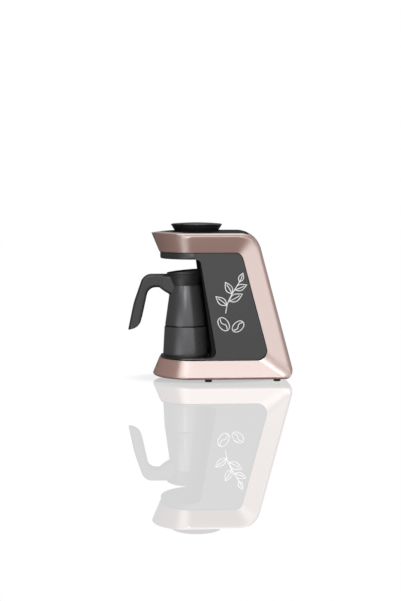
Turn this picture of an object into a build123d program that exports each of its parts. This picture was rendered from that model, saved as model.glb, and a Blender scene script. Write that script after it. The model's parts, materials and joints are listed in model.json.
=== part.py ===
from build123d import *
from math import atan, cos, degrees, radians, sin, tan
import os

# Electric Turkish coffee maker. Millimetres, +Z up, front (jug side) -Y, back +Y, width along X.
# Z = 0 is the surface that the feet stand on. The origin lies under the middle of the length.
#
# The housing is a hollow C: a head over the jug, a sloping back and a base. Its top and back are
# crowned across the width. From the crease at the widest line, chamfers slant inwards to the black
# core: side panels, canopy, niche wall and deck.

# Housing
HALF_WIDTH = 70.0         # at the crease, the widest line of the chamfers
TOP_Z = 232.3             # crown of the top
BOTTOM_Z = 5.0            # underside of the housing
BACK_FOOT_Y = 131.4       # where the crown of the back would meet the underside
BACK_LEAN = 15.0          # degrees from upright
BACK_CORNER_R = 37.0      # top back corner, at the crown
HEEL_R = 12.0             # bottom back corner
SKIRT_R = 4.0             # bottom edge
CROWN_DROP = 9.5          # from the crown down to the crease
CROWN_EDGE_X = 62.5       # where the flat arch turns into the tight shoulder
CROWN_EDGE_DROP = 4.5
NOSE_Y = -14.0            # plan: centre and radius of the broad front arc
NOSE_R = 75.0
CHEEK_X = 20.0            # plan: centres and radius of the tighter arcs beside it
CHEEK_Y = -29.0
CHEEK_R = 50.0
FALL_Y = -40.0            # ahead of this the top falls away on a large arc
FALL_R = 312.0
WALL = 2.5

# Chamfers
BAND = 24.0               # height of the chamfer, seen from the side
BAND_INSET = 10.0         # how far it slants inwards
BASE_CREASE_Z = 9.0
PANEL_TOP_R = 12.5        # back corners of the opening that the chamfers leave
PANEL_HEEL_R = 15.6

# Black core
CORE_INSET = 11.5         # from the crease in to the black faces
CORE_HALF = HALF_WIDTH - CORE_INSET
SEAM = 1.0                # groove between shell and core
PANEL_INNER_X = 54.5
INNER_HALF = 54.5         # canopy, niche and deck between the side panels
CANOPY_Z = 188.0          # underside of the head
DECK_RIM_Z = 36.6
DECK_Z = 35.6
SEAT_Z = 34.7             # floor that the jug stands on
COLUMN_Y = 7.8            # front edge of the column at the deck rim
COLUMN_LEAN = 9.75        # it leans forwards, degrees from upright
COLUMN_FOOT_R = 10.0
COLUMN_HEAD_R = 8.0
CANOPY_END_Y = -27.0      # where the canopy's band meets the side panels
DECK_END_Y = -12.0

# Jug and niche
JUG_Y = -38.0
NICHE_R = 50.0
NICHE_BACK_Y = 16.0
NICHE_FOOT_Y = 1.7        # its front edge stands ahead of the panels', most at the foot
NICHE_HEAD_Y = -19.4
NICHE_HEAD_R = 6.0
NICHE_TOE_Y = -11.0

# Knob
KNOB_Y = -20.7
WELL_R = 37.5
WELL_FLOOR_Z = 228.3
KNOB_TRAVEL = 1.5
SHAFT_R = 3.0
SHAFT_HOLE_R = 4.5

LEAN = radians(BACK_LEAN)
TAPER = degrees(atan(BAND_INSET / BAND))
CHEEK_SWEEP = degrees(atan((NOSE_Y - CHEEK_Y) / CHEEK_X))
CREASE_Z = TOP_Z - CROWN_DROP
OPENING_TOP = CREASE_Z - BAND
OPENING_FLOOR = BASE_CREASE_Z + BAND
ARCH_R = (CROWN_EDGE_X ** 2 + CROWN_EDGE_DROP ** 2) / (2 * CROWN_EDGE_DROP)

UP = (Align.CENTER, Align.CENTER, Align.MIN)
PARTS = {}


def keep(name, shape):
    """Remember a finished piece under its node name."""
    PARTS[name] = shape
    return shape


def z_disc(radius, z_low, z_high, x=0.0, y=0.0):
    """Upright cylinder between two heights."""
    return Pos(x, y, z_low) * extrude(Circle(radius), amount=z_high - z_low)


def z_ring(outer, inner, z_low, z_high, x=0.0, y=0.0):
    return z_disc(outer, z_low, z_high, x, y) - z_disc(inner, z_low - 1, z_high + 1, x, y)


def block(x_low, x_high, y_low, y_high, z_low, z_high):
    """Box between two corners."""
    size = (x_high - x_low, y_high - y_low, z_high - z_low)
    centre = ((x_low + x_high) / 2, (y_low + y_high) / 2, (z_low + z_high) / 2)
    return Pos(*centre) * Box(*size)


def side_prism(face, x_low, x_high):
    """A face drawn in Y and Z, extruded along X."""
    return Pos(x_low, 0, 0) * extrude(Plane.YZ * face, amount=x_high - x_low)


def slab(face, z_low, z_high, taper=0.0):
    """A face drawn in X and Y, extruded upwards."""
    return extrude(Pos(0, 0, z_low) * face, amount=z_high - z_low, taper=taper)


def both_sides(shape):
    return shape + mirror(shape, about=Plane.YZ)


def rounded(points, radii):
    """Closed outline through the points, each corner rounded by its own radius."""
    face = make_face(Polyline(*points, close=True))
    for point, radius in zip(points, radii):
        if radius:
            face = fillet(face.vertices().sort_by_distance(point)[0], radius)
    return face


def back_y(z, depth=0.0):
    """Y of the sloping back at height z, `depth` under its crown."""
    return BACK_FOOT_Y - (z - BOTTOM_Z) * tan(LEAN) - depth / cos(LEAN)


def column_y(z):
    """Y of the column's leaning front edge at height z."""
    return COLUMN_Y - (z - DECK_RIM_Z) * tan(radians(COLUMN_LEAN))


def plan_outline(inset, end_y, crown=0.0, corner=0.0):
    """The housing from above, `inset` inside the crease: three tangent arcs and straight sides."""
    half = HALF_WIDTH - inset
    near = JernArc((half, CHEEK_Y), (0, -1), CHEEK_R - inset, -CHEEK_SWEEP)
    nose = JernArc(near @ 1, near % 1, NOSE_R - inset, -2 * (90 - CHEEK_SWEEP))
    far = JernArc(nose @ 1, nose % 1, CHEEK_R - inset, -CHEEK_SWEEP)
    far_side = Line(far @ 1, (-half, end_y - crown))
    near_side = Line((half, end_y - crown), near @ 0)
    if crown:
        end = ThreePointArc((-half, end_y - crown), (0, end_y), (half, end_y - crown))
    else:
        end = Line((-half, end_y), (half, end_y))
    face = make_face([near, nose, far, far_side, end, near_side])
    if corner:
        ends = face.vertices().sort_by(Axis.Y)[-2:]
        face = fillet(ends, corner)
    return face


# ---------------------------------------------------------------- housing form

def crowned_form(inset):
    """Solid under the crowned top and back, `inset` below their surface."""
    top = TOP_Z - inset
    corner_r = BACK_CORNER_R - inset
    reach = corner_r * tan(radians((90 - BACK_LEAN) / 2))
    up = Vector(-sin(LEAN), cos(LEAN))
    low_z = -25.0
    rise = Line((back_y(low_z, inset), low_z), Vector(back_y(top, inset), top) - up * reach)
    bend = JernArc(rise @ 1, up, corner_r, 90 - BACK_LEAN)
    flat = Line(bend @ 1, (FALL_Y, top))
    fall = JernArc(flat @ 1, (-1, 0), FALL_R - inset, 11)
    path = Plane.YZ * Wire([rise, bend, flat, fall])

    half = HALF_WIDTH + 1 - inset
    edge_x = CROWN_EDGE_X - inset
    depth = 26.0
    arch = ThreePointArc((-edge_x, -CROWN_EDGE_DROP), (0, 0), (edge_x, -CROWN_EDGE_DROP))
    shoulder_z = -CROWN_DROP - 2.5
    near = TangentArc((edge_x, -CROWN_EDGE_DROP), (half, shoulder_z), tangent=arch % 1)
    far = TangentArc((-edge_x, -CROWN_EDGE_DROP), (-half, shoulder_z), tangent=-(arch % 0))
    rest = Polyline(near @ 1, (half, -depth), (-half, -depth), far @ 1)
    section = make_face([arch, near, rest, far])
    start = Plane(origin=path @ 0, x_dir=(1, 0, 0), z_dir=path % 0)
    strap = sweep(start * section, path=path)

    core_depth = inset + 15.0
    core_top = TOP_Z - core_depth
    front_y = -130.0
    outline = rounded(
        [(front_y, low_z), (back_y(low_z, core_depth), low_z),
         (back_y(core_top, core_depth), core_top), (front_y, core_top)],
        [0, 0, BACK_CORNER_R - 15.0, 0])
    solid = strap + side_prism(outline, -half, half)

    # The heel is rounded on the flat arch alone, because its radius is wider than the shoulders'.
    floor = BOTTOM_Z + inset
    solid = split(solid, Plane.XY.offset(floor), keep=Keep.TOP)
    joint_z = 45.0
    upper = split(solid, Plane.XY.offset(joint_z), keep=Keep.TOP)
    lower = split(solid, Plane.XY.offset(joint_z), keep=Keep.BOTTOM)
    wide = 80.0
    wide_drop = ARCH_R - (ARCH_R ** 2 - wide ** 2) ** 0.5
    arch = ThreePointArc((-wide, -wide_drop), (0, 0), (wide, -wide_drop))
    rest = Polyline(arch @ 1, (wide, -320), (-wide, -320), arch @ 0)
    heel = extrude(start * make_face([arch, rest]), amount=joint_z + 180)
    heel = split(heel, Plane.XY.offset(floor), keep=Keep.TOP)
    edge = heel.edges().group_by(Axis.Z)[0].sort_by(Axis.Y)[-1]
    heel = fillet(edge, HEEL_R - inset)
    return upper + (lower & heel)


def chamfer_loop(x, low_x):
    """Outline that the chamfer plane has at distance x from the middle; low_x is its inner edge."""
    out = (x - low_x) / BAND_INSET
    crease_depth = CROWN_DROP + BAND
    depth = crease_depth - out * BAND
    top = OPENING_TOP + out * BAND
    floor = OPENING_FLOOR - out * BAND
    top_r = PANEL_TOP_R + out * (BACK_CORNER_R - CROWN_DROP - PANEL_TOP_R)
    heel_r = PANEL_HEEL_R + out * (10.0 - PANEL_HEEL_R)
    front_y = -70.0
    return rounded(
        [(front_y, floor), (back_y(floor, depth), floor), (back_y(top, depth), top), (front_y, top)],
        [0, heel_r, top_r, 0])


def chamfer_cutter(inset):
    """What the chamfers remove from both sides of the column, `inset` further in."""
    low_x = HALF_WIDTH - BAND_INSET - inset
    high_x = low_x + BAND_INSET * 1.5
    near = loft([Plane.YZ.offset(low_x) * chamfer_loop(low_x, low_x),
                 Plane.YZ.offset(high_x) * chamfer_loop(high_x, low_x)], ruled=True)
    return both_sides(near)


def base_tub(side_inset, floor, end_y):
    """Lowest part of the housing: upright sides with a rounded bottom edge, up to the crease."""
    tub = slab(plan_outline(side_inset, end_y), floor, floor + 20)
    rim = tub.edges().group_by(Axis.Z)[0].filter_by(lambda edge: edge.center().Y < end_y - 1)
    tub = fillet(rim, SKIRT_R - side_inset)
    return split(tub, Plane.XY.offset(BASE_CREASE_Z), keep=Keep.BOTTOM)


def housing_form(inset):
    """The whole housing as a closed solid, `inset` under its surface."""
    crowned = crowned_form(inset)
    side_inset = inset / cos(radians(TAPER))
    outline = plan_outline(side_inset, 60.0)
    rise = 12.0
    chamfer = extrude(outline, amount=-(BAND + 8), taper=TAPER)
    head = slab(outline, CREASE_Z, CREASE_Z + rise, -TAPER) + Pos(0, 0, CREASE_Z) * chamfer
    base = Pos(0, 0, BASE_CREASE_Z) * mirror(chamfer, about=Plane.XY)
    base += base_tub(side_inset, BOTTOM_Z + inset, 60.0)
    front = block(-80, 80, -200, CHEEK_Y, -30, 260) & crowned & (head + base)

    tub = base_tub(side_inset, BOTTOM_Z + inset, 170.0)
    half = HALF_WIDTH - side_inset
    above = block(-half, half, -200, 200, BASE_CREASE_Z, 260)
    back = block(-80, 80, CHEEK_Y, 200, -30, 260) & crowned & (tub + above)
    return front + (back - chamfer_cutter(side_inset))


def opening_outline(step, front_y):
    """Opening that the chamfers leave, made smaller by step, open ahead of front_y."""
    floor = OPENING_FLOOR + step
    top = OPENING_TOP - step
    depth = CROWN_DROP + BAND + step
    return rounded(
        [(front_y, floor), (back_y(floor, depth), floor), (back_y(top, depth), top), (front_y, top)],
        [0, PANEL_HEEL_R - step, PANEL_TOP_R - step, 0])


# ---------------------------------------------------------------- housing

PLATE_EDGE = 12.0         # top plate: inset from the crease, back end and thickness
PLATE_BACK_Y = 56.4
PLATE_T = 3.0
PLATE_CORNER_R = 9.0
FIT = 0.15                # gap between neighbouring mouldings
BASE_EDGE = 4.3           # base plate: inset from the crease and back end
BASE_BACK_Y = 113.0
BASE_T = 2.5
LEDGE_T = 2.2
VENT_PITCH = 5.6
VENT_COUNT = 7
SHELL_POSTS = [(60.5, 84.0)]
DECK_POSTS = [(30.0, -60.0), (46.0, 8.0)]
RIB_YS = (-45.0, -18.0, 35.0)
BUSH_Z = 23.5
BUSH_R = 6.5
BUSH_BORE_R = 3.6
SCREW_R = 1.4
SCREW_HOLE_R = 1.4
SCREW_PASS_R = 1.8
FOOT_PLACES = [(0.0, -67.0), (52.0, -5.5), (48.0, 101.0)]
FOOT_R = 6.0
FOOT_BOSS_R = 3.4
COLLAR_RISE = 3.2         # canopy and deck collars reach this far past the opening's edges
COVER_HALF = 67.0         # rear cover
COVER_TOP_Z = 196.0
COVER_LOW_Z = 36.0


def base_outline(inset):
    return plan_outline(inset, BASE_BACK_Y - inset, crown=5.0, corner=10.0)


def plate_outline(step):
    return plan_outline(PLATE_EDGE + step, PLATE_BACK_Y - step, corner=PLATE_CORNER_R)


def cover_region(step):
    """Space of the rear cover: between two planes across the back and two along it."""
    outline = make_face(Polyline(
        (back_y(COVER_LOW_Z, 10), COVER_LOW_Z + step), (back_y(COVER_LOW_Z, -12), COVER_LOW_Z + step),
        (back_y(COVER_TOP_Z, -12), COVER_TOP_Z - step), (back_y(COVER_TOP_Z, 10), COVER_TOP_Z - step),
        close=True))
    return side_prism(outline, -COVER_HALF + step, COVER_HALF - step)


def housing():
    """The C-shaped shell, the cover on its back and the plate in its top."""
    outer = housing_form(0)
    inner = housing_form(WALL)
    shell = outer - inner - side_prism(opening_outline(0, -200), -80, 80)

    # Ledge that carries the top plate, and the plate's pocket
    ledge = crowned_form(WALL - 0.5) - crowned_form(PLATE_T + LEDGE_T)
    ledge &= slab(plate_outline(-3.0), 180, 240) - slab(plate_outline(5.0), 179, 241)
    pocket = slab(plate_outline(-FIT), 180, 240) - crowned_form(PLATE_T)
    shell = shell + ledge - pocket

    # Ledge over the base plate, with posts for the plate's screws
    skin = housing_form(1.0)
    ledge_z = BOTTOM_Z + BASE_T
    shell -= slab(base_outline(BASE_EDGE - FIT), 0, ledge_z)
    rim = slab(base_outline(WALL - 0.6), ledge_z, ledge_z + LEDGE_T)
    rim -= slab(base_outline(12.0), ledge_z - 1, ledge_z + LEDGE_T + 1)
    for x, y in FOOT_PLACES:
        rim -= both_sides(z_disc(FOOT_BOSS_R + FIT, 0, 13, x, y))
    for x, y in SHELL_POSTS:
        rim += both_sides(z_disc(4.0, ledge_z, ledge_z + 10, x, y))
        rim -= both_sides(z_disc(SCREW_HOLE_R, ledge_z - 1, ledge_z + 9, x, y))

    # Ribs that the canopy's and the deck's collars seat on
    for y in RIB_YS:
        rim += both_sides(block(54, 69, y - 1, y + 1, OPENING_TOP + COLLAR_RISE, OPENING_TOP + 24))
        rim += both_sides(block(54, 69, y - 1, y + 1, ledge_z, OPENING_FLOOR - COLLAR_RISE))
    shell = shell + (rim & skin)

    # Rear cover, with a flange of the shell behind its edges
    flange = crowned_form(WALL) - crowned_form(WALL + 2.0)
    flange &= (cover_region(-3.0) - cover_region(5.0)) & skin
    cover = (shell & cover_region(FIT)) - flange
    shell = shell - cover_region(0) + flange
    bush_hole = Pos(0, 100, BUSH_Z) * Rot(-90, 0, 0) * extrude(Circle(BUSH_R + FIT), amount=60)
    shell -= bush_hole
    keep("main_shell", shell)
    keep("rear_cover", cover)

    plate = (crowned_form(0) - crowned_form(PLATE_T)) & slab(plate_outline(0), 180, 240)
    plate += z_disc(WELL_R + 2.2, WELL_FLOOR_Z - 2.2, TOP_Z - 1.5, 0, KNOB_Y) & crowned_form(0.5)
    plate -= z_disc(WELL_R, WELL_FLOOR_Z, TOP_Z + 10, 0, KNOB_Y)
    plate -= z_disc(SHAFT_HOLE_R, WELL_FLOOR_Z - 10, TOP_Z, 0, KNOB_Y)
    plate += z_ring(SHAFT_HOLE_R + 2, SHAFT_HOLE_R, WELL_FLOOR_Z - 5, WELL_FLOOR_Z + 1.2, 0, KNOB_Y)
    keep("top_plate", plate)

    bush = Pos(0, 118, BUSH_Z) * Rot(-90, 0, 0) * extrude(Circle(BUSH_R), amount=60) & outer
    bush += Pos(0, 118, BUSH_Z) * Rot(-90, 0, 0) * extrude(Circle(BUSH_R + 2.5), amount=60) & inner
    bush -= Pos(0, 100, BUSH_Z) * Rot(-90, 0, 0) * extrude(Circle(BUSH_BORE_R), amount=60)
    keep("cord_bush", bush)


# ---------------------------------------------------------------- black core

PANEL_FACE_X = CORE_HALF
PANEL_T = 2.0
COLLAR_INSET = 13.5       # stands up behind the shell's edge and closes the groove
CORE_WALL = 2.2
SENSOR_R = 9.0
POST_R = 12.0             # power connector that the jug is put down on
POST_TOP_Z = 43.0
DECK_RIM_W = 5.0
SEAT_R = 37.0


def side_panels():
    face = rounded(
        [(CANOPY_END_Y, OPENING_TOP - SEAM),
         (back_y(OPENING_TOP - SEAM, CROWN_DROP + BAND + SEAM), OPENING_TOP - SEAM),
         (back_y(OPENING_FLOOR + SEAM, CROWN_DROP + BAND + SEAM), OPENING_FLOOR + SEAM),
         (DECK_END_Y, OPENING_FLOOR + SEAM), (DECK_END_Y, DECK_RIM_Z),
         (COLUMN_Y, DECK_RIM_Z), (column_y(CANOPY_Z), CANOPY_Z), (CANOPY_END_Y, CANOPY_Z)],
        [0, PANEL_TOP_R - SEAM, PANEL_HEEL_R - SEAM, 0, 0, COLUMN_FOOT_R, COLUMN_HEAD_R, 0])
    panel = side_prism(face, PANEL_INNER_X, PANEL_FACE_X)
    hollow = offset(face, amount=-3.0, kind=Kind.INTERSECTION)
    panel -= side_prism(hollow, PANEL_INNER_X - 1, PANEL_FACE_X - PANEL_T)
    # Flange that tucks behind the shell's edge and darkens the groove
    flange = opening_outline(-2.0, -10) - opening_outline(1.0, -11)
    panel += side_prism(flange, PANEL_INNER_X, PANEL_FACE_X - PANEL_T)
    keep("side_panel_right", panel)
    keep("side_panel_left", mirror(panel, about=Plane.YZ))


def niche_block(wall):
    """Column between the panels, hollowed round the jug, `wall` under its surface."""
    toe_y = NICHE_TOE_Y + wall
    outline = rounded(
        [(NICHE_BACK_Y, DECK_Z + wall), (toe_y, DECK_Z + wall), (toe_y, DECK_RIM_Z + wall),
         (NICHE_FOOT_Y + wall, DECK_RIM_Z + wall), (NICHE_HEAD_Y + wall, CANOPY_Z - wall),
         (CANOPY_END_Y + 1 + wall, CANOPY_Z - wall), (NICHE_BACK_Y, CANOPY_Z - wall)],
        [0, 0, 0, COLUMN_FOOT_R, NICHE_HEAD_R, 0, 0])
    half = INNER_HALF - wall
    return side_prism(outline, -half, half) - z_disc(NICHE_R + wall, 0, 250, 0, JUG_Y)


def niche_wall():
    """Open box behind the jug. Its back edge carries lugs for the boards' frame."""
    wall = niche_block(0) - niche_block(WALL)
    for z in LUG_ZS:
        lug = block(40, INNER_HALF - 0.5, NICHE_BACK_Y - 6, POWER_Y, z - 5, z + 5)
        lug -= Pos(LUG_X, NICHE_BACK_Y, z) * Rot(90, 0, 0) * Cylinder(SCREW_HOLE_R, 20)
        wall += both_sides(lug)
    keep("niche_wall", wall)


def canopy():
    """Band and underside of the head: a tray with a rounded rim and a collar behind the shell."""
    top = OPENING_TOP - SEAM
    tray = slab(plan_outline(CORE_INSET, CANOPY_END_Y), CANOPY_Z, top)
    rim = tray.edges().group_by(Axis.Z)[0].filter_by(lambda edge: edge.center().Y < CANOPY_END_Y - 1)
    tray = fillet(rim, 2.8)
    collar = slab(plan_outline(COLLAR_INSET, CANOPY_END_Y), top - 2, OPENING_TOP + COLLAR_RISE)
    tray += collar
    hollow_inset = COLLAR_INSET + CORE_WALL
    tray -= slab(plan_outline(hollow_inset, CANOPY_END_Y + 1), CANOPY_Z + CORE_WALL, 230)
    tray -= block(-80, 80, CANOPY_END_Y, 200, 0, 300)
    tail = block(-INNER_HALF, INNER_HALF, CANOPY_END_Y, NICHE_BACK_Y, CANOPY_Z, CANOPY_Z + CORE_WALL)
    tail += both_sides(block(INNER_HALF - CORE_WALL, INNER_HALF, CANOPY_END_Y, NICHE_BACK_Y,
                             CANOPY_Z, OPENING_TOP + COLLAR_RISE))
    canopy_cover = tray + tail
    canopy_cover += z_ring(SENSOR_R + 3, SENSOR_R - 1.5, CANOPY_Z + 1, CANOPY_Z + 7, 0, JUG_Y)
    canopy_cover -= z_disc(SENSOR_R + FIT, CANOPY_Z - 1, CANOPY_Z + 1.5, 0, JUG_Y)
    canopy_cover -= z_disc(SENSOR_R - 1.5, CANOPY_Z - 1, CANOPY_Z + 9, 0, JUG_Y)
    for x, y in BOARD_POSTS:
        canopy_cover += both_sides(z_disc(3.6, CANOPY_Z + 1, CONTROL_Z, x, y))
        canopy_cover -= both_sides(z_disc(SCREW_HOLE_R, CANOPY_Z + 5, CONTROL_Z + 1, x, y))
    keep("canopy_cover", canopy_cover)

    lens = z_disc(SENSOR_R, CANOPY_Z + 0.2, CANOPY_Z + 1.5, 0, JUG_Y)
    lens += z_disc(SENSOR_R - 1.7, CANOPY_Z + 1.5, CANOPY_Z + 3.5, 0, JUG_Y)
    keep("sensor_lens", lens)
    sensor_z = CANOPY_Z + 7
    board = block(-14, 14, JUG_Y - 14, JUG_Y + 14, sensor_z, sensor_z + 1.6)
    board += block(-3, 3, JUG_Y - 2.5, JUG_Y + 2.5, sensor_z - 2.6, sensor_z)
    board += block(-6, 6, JUG_Y + 8, JUG_Y + 13, sensor_z + 1.6, sensor_z + 6)
    keep("sensor_board", board)


def deck():
    """Black deck: raised rim, sunk floor, round seat and posts for the base plate's screws."""
    low = OPENING_FLOOR + SEAM
    end = DECK_END_Y
    tray = slab(plan_outline(CORE_INSET, end), low, DECK_RIM_Z)
    rim = tray.edges().group_by(Axis.Z)[-1].filter_by(lambda edge: edge.center().Y < end - 1)
    tray = fillet(rim, 1.2)
    tray += slab(plan_outline(COLLAR_INSET, end), OPENING_FLOOR - COLLAR_RISE, low + 1)
    tray -= slab(plan_outline(COLLAR_INSET + CORE_WALL, end + 1), 0, DECK_Z - CORE_WALL)
    tray -= slab(plan_outline(CORE_INSET + DECK_RIM_W, end + 1), DECK_Z, DECK_RIM_Z + 1)
    tail = block(-INNER_HALF, INNER_HALF, end, NICHE_BACK_Y, DECK_Z - CORE_WALL, DECK_Z)
    tail += both_sides(block(INNER_HALF - CORE_WALL, INNER_HALF, end, NICHE_BACK_Y,
                             OPENING_FLOOR - COLLAR_RISE, DECK_Z))
    cover = tray + tail
    cover -= z_disc(SEAT_R, SEAT_Z, DECK_RIM_Z + 5, 0, JUG_Y)
    cover -= z_disc(POST_R + 4 + FIT, 0, DECK_RIM_Z + 5, 0, JUG_Y)
    for x, y in DECK_POSTS:
        cover += both_sides(z_disc(3.6, BOTTOM_Z + BASE_T, DECK_Z - 1, x, y))
        cover -= both_sides(z_disc(SCREW_HOLE_R, 0, DECK_Z - 12, x, y))
    keep("deck_cover", cover)


def connector():
    """Post with a centre pin, two ring contacts and a flange under the deck."""
    post = z_disc(POST_R, SEAT_Z - 8, POST_TOP_Z - 1.5, 0, JUG_Y)
    post += Pos(0, JUG_Y, POST_TOP_Z - 1.5) * Cone(POST_R, POST_R - 2, 1.5, align=UP)
    post += z_disc(POST_R + 4, SEAT_Z - 8, SEAT_Z, 0, JUG_Y)
    post += z_disc(POST_R + 8, DECK_Z - CORE_WALL - 3, DECK_Z - CORE_WALL, 0, JUG_Y)
    post -= z_disc(3.0, SEAT_Z - 4, POST_TOP_Z + 1, 0, JUG_Y)
    post -= z_ring(8.2, 6.0, SEAT_Z + 1, POST_TOP_Z + 1, 0, JUG_Y)
    keep("seat_connector", post)
    pins = z_disc(1.4, SEAT_Z - 4, POST_TOP_Z - 1, 0, JUG_Y)
    pins += z_ring(7.6, 6.6, SEAT_Z + 1, POST_TOP_Z - 2, 0, JUG_Y)
    keep("contact_pins", pins)


def screw_up(x, y, seat_z, length=8.0):
    """Pan-head screw driven upwards, its head under seat_z, with a slot."""
    screw = z_disc(2.6, seat_z - 1.4, seat_z, x, y) + z_disc(SCREW_R, seat_z, seat_z + length, x, y)
    return screw - block(x - 2, x + 2, y - 0.3, y + 0.3, seat_z - 2, seat_z - 0.7)


def base():
    """Base plate with vents, the rubber feet under it and the screws that hold both."""
    plate = slab(base_outline(BASE_EDGE), BOTTOM_Z, BOTTOM_Z + BASE_T)
    slot = SlotOverall(30, 2.6)
    for row_y in (18.0, 66.0):
        for index in range(VENT_COUNT):
            y = row_y + (index - (VENT_COUNT - 1) / 2) * VENT_PITCH
            plate -= Pos(0, y, 0) * extrude(slot, amount=20)
    screws = []
    for x, y in SHELL_POSTS + DECK_POSTS:
        plate -= both_sides(z_disc(SCREW_PASS_R, 0, 20, x, y) + z_disc(3.4, 0, BOTTOM_Z + 0.8, x, y))
        screws += [screw_up(side * x, y, BOTTOM_Z + 0.8) for side in (1, -1)]
    keep("base_screws", Compound(screws))

    feet = []
    foot_screws = []
    for x, y in FOOT_PLACES:
        for side in ((1, -1) if x else (1,)):
            place = (side * x, y)
            foot = Pos(*place, 0) * Cone(FOOT_R - 0.8, FOOT_R, BOTTOM_Z, align=UP)
            foot = foot - z_disc(2.8, -1, 2.2, *place) - z_disc(SCREW_HOLE_R, 0, 10, *place)
            feet.append(foot)
            foot_screws.append(screw_up(*place, 2.2))
            plate += z_disc(FOOT_BOSS_R, BOTTOM_Z, BOTTOM_Z + 7, *place)
            plate -= z_disc(SCREW_HOLE_R, 0, BOTTOM_Z + 5.5, *place)
    keep("base_plate", plate)
    keep("rubber_feet", Compound(feet))
    keep("foot_screws", Compound(foot_screws))


# ---------------------------------------------------------------- knob

KNOB_R = 40.0
KNOB_FOOT_R = 33.7
KNOB_FOOT_Z = 230.8
KNOB_RIM_Z = 241.6
KNOB_TOP_Z = 243.8
KNOB_CAP_R = 38.0
KNOB_WALL = 2.2
HUB_R = 6.0
SHAFT_LOW_Z = 217.0


def turned(points):
    """Solid turned about Z from an outline of radius and height."""
    return revolve(Plane.XZ * make_face(Polyline(*points, close=True)), Axis.Z)


def knob():
    """Cup-shaped skirt under a domed cap, pressed on a D-shaft."""
    here = Pos(0, KNOB_Y, 0)
    rim = [(0, KNOB_RIM_Z), (KNOB_R, KNOB_RIM_Z), (KNOB_FOOT_R, KNOB_FOOT_Z), (0, KNOB_FOOT_Z)]
    skirt = turned(rim)
    edge = skirt.edges().group_by(Axis.Z)[-1]
    skirt = fillet(edge, 0.8)
    roof = KNOB_RIM_Z - 3.0
    skirt -= turned([(0, roof), (KNOB_R - 3.6, roof), (KNOB_FOOT_R - KNOB_WALL, KNOB_FOOT_Z - 1),
                     (0, KNOB_FOOT_Z - 1)])
    skirt += z_disc(HUB_R, KNOB_FOOT_Z + 0.4, roof + 1)
    for turn in range(6):
        rib = Rot(0, 0, turn * 60) * block(HUB_R - 1, KNOB_FOOT_R - 1.5, -0.8, 0.8, roof - 4, roof + 1)
        skirt += rib
    skirt -= z_disc(KNOB_CAP_R + FIT, KNOB_RIM_Z - 1.2, KNOB_RIM_Z + 2)
    flat = z_disc(SHAFT_R, SHAFT_LOW_Z, roof - 0.5) - block(1.8, 9, -9, 9, KNOB_FOOT_Z, roof + 9)
    skirt -= z_disc(SHAFT_R, 200, roof - 0.5) - block(1.8, 9, -9, 9, 200, roof + 9)
    keep("knob_skirt", here * skirt)
    keep("knob_shaft", here * flat)
    low = KNOB_RIM_Z - 1.2
    edge_z = KNOB_RIM_Z + 0.5
    dome_r = (KNOB_CAP_R ** 2 + (KNOB_TOP_Z - edge_z) ** 2) / (2 * (KNOB_TOP_Z - edge_z))
    ball = Pos(0, 0, KNOB_TOP_Z - dome_r) * Sphere(dome_r)
    keep("knob_cap", here * (z_disc(KNOB_CAP_R, low, KNOB_TOP_Z + 1) & ball))


# ---------------------------------------------------------------- jug

RING_TOP_Z = 38.0         # foot ring, sleeve, body and collar, from the bottom up
SLEEVE_TOP_Z = 82.0
GROOVE_Z = 83.5
COLLAR_Z = 146.0
RIM_Z = 165.5             # at the handle; the rim climbs from there to the spout
RIM_SLOPE = 0.1
SPOUT_Z = 172.0
FOOT_RING_R = 34.4
SLEEVE_LOW_R = 35.1
SLEEVE_TOP_R = 32.9
SLEEVE_T = 1.7
BODY_LOW_R = 32.1
BODY_TOP_R = 23.4
COLLAR_TOP_R = 29.3
SPOUT_REACH = 4.5
JUG_WALL = 1.4
POT_FLOOR_Z = 56.0
HANDLE_HALF = 9.0
HANDLE_ROUND = 5.0
TIP_ROUND = 0.8
HEEL_Y = -121.0           # where the grip's flat end turns up into its inner side
JUG_SCREW_COUNT = 3
JUG_SCREW_CIRCLE_R = 24.5


def jug_at(shape):
    return Pos(0, JUG_Y, 0) * shape


def wall_r(z):
    """Radius of the pot's sloping wall."""
    return BODY_LOW_R + (BODY_TOP_R - BODY_LOW_R) * (z - GROOVE_Z) / (COLLAR_Z - GROOVE_Z)


def jug_body():
    """Drawn metal pot: sloping wall, rounded floor, a neck that the collar sits on."""
    neck_r = BODY_TOP_R - 1.6
    low_r = SLEEVE_TOP_R - SLEEVE_T
    outside = [(0, POT_FLOOR_Z - JUG_WALL), (low_r, POT_FLOOR_Z - JUG_WALL), (low_r, GROOVE_Z - 2),
               (BODY_LOW_R - 0.9, GROOVE_Z - 2), (BODY_LOW_R - 0.9, GROOVE_Z), (BODY_LOW_R, GROOVE_Z),
               (BODY_TOP_R, COLLAR_Z), (neck_r, COLLAR_Z), (neck_r, COLLAR_Z + 8), (0, COLLAR_Z + 8)]
    inner_top_r = neck_r - 1.0
    inner_low_r = low_r - JUG_WALL
    turn_z = GROOVE_Z - 2
    inside = [(0, POT_FLOOR_Z), (inner_low_r, POT_FLOOR_Z), (inner_low_r, turn_z),
              (inner_top_r, COLLAR_Z), (inner_top_r, COLLAR_Z + 9), (0, COLLAR_Z + 9)]
    pot = turned(outside)
    low_edge = pot.edges().group_by(Axis.Z)[0]
    pot = fillet(low_edge, 5.0)
    hollow = turned(inside)
    floor_edge = hollow.edges().group_by(Axis.Z)[0]
    hollow = fillet(floor_edge, 4.0)
    keep("jug_body", jug_at(pot - hollow))


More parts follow.
